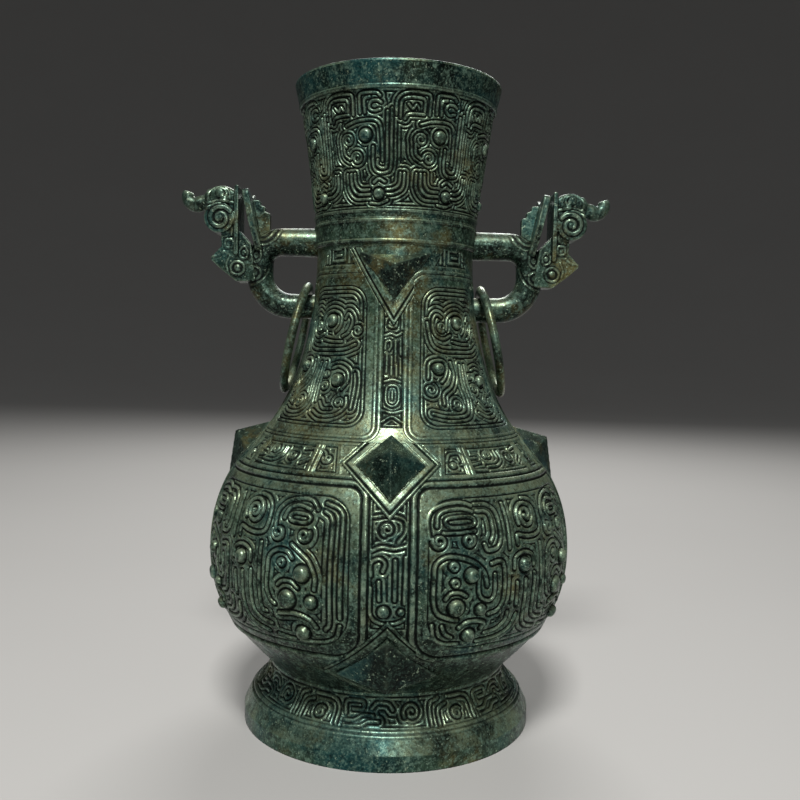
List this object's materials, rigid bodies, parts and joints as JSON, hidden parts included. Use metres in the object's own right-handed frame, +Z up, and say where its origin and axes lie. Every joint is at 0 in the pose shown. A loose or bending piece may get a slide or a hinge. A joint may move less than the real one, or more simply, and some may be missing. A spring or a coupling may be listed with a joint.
{
  "type": "bronze hu vessel",
  "caption": "Tall round wine vessel with flared mouth, waisted neck, round belly and spreading foot, faceted bosses, beast-head loop handles and loose drop rings that lift.",
  "frame": {"origin": "middle of the foot, on the surface the vessel stands on", "axes": "+Z up along the vessel's axis, -Y to the front, handles along -X and +X"},
  "size_m": [0.3316, 0.278, 0.49],
  "materials": {
    "body_patina": "cast bronze with dark green patina, worn paler on raised ridges",
    "handle_patina": "cast bronze with dark green patina, rubbed on its rounds",
    "ring_patina": "plain bronze ring with rubbed green patina",
    "inside_patina": "dark unpolished bronze inside the vessel"
  },
  "bodies": {
    "vessel": {"foot_ring": "body_patina", "floor_plate": "inside_patina", "belly_shell": "body_patina", "neck_shell": "body_patina", "mouth_collar": "body_patina", "shoulder_boss_front": "body_patina", "shoulder_boss_right": "body_patina", "shoulder_boss_back": "body_patina", "shoulder_boss_left": "body_patina", "neck_boss_front": "body_patina", "neck_boss_back": "body_patina", "keel_boss_front": "body_patina", "keel_boss_back": "body_patina", "handle_arm_left": "handle_patina", "ear_plate_left": "handle_patina", "beast_head_left": "handle_patina", "beast_crest_left": "handle_patina", "handle_arm_right": "handle_patina", "ear_plate_right": "handle_patina", "beast_head_right": "handle_patina", "beast_crest_right": "handle_patina", "handle_tenon_upper_left": "inside_patina", "handle_tenon_upper_right": "inside_patina", "handle_tenon_lower_left": "inside_patina", "handle_tenon_lower_right": "inside_patina"},
    "ring_left": {"drop_ring_left": "ring_patina"},
    "ring_right": {"drop_ring_right": "ring_patina"}
  },
  "joints": [
    {"name": "ring_left_lift", "type": "hinge", "parent": "vessel", "child": "ring_left", "pos_m": [-0.06753, 0, 0.33545], "axis": [0, 1, 0], "range_deg": [0, 75]},
    {"name": "ring_right_lift", "type": "hinge", "parent": "vessel", "child": "ring_right", "pos_m": [0.06753, 0, 0.33545], "axis": [0, -1, 0], "range_deg": [0, 75]}
  ]
}
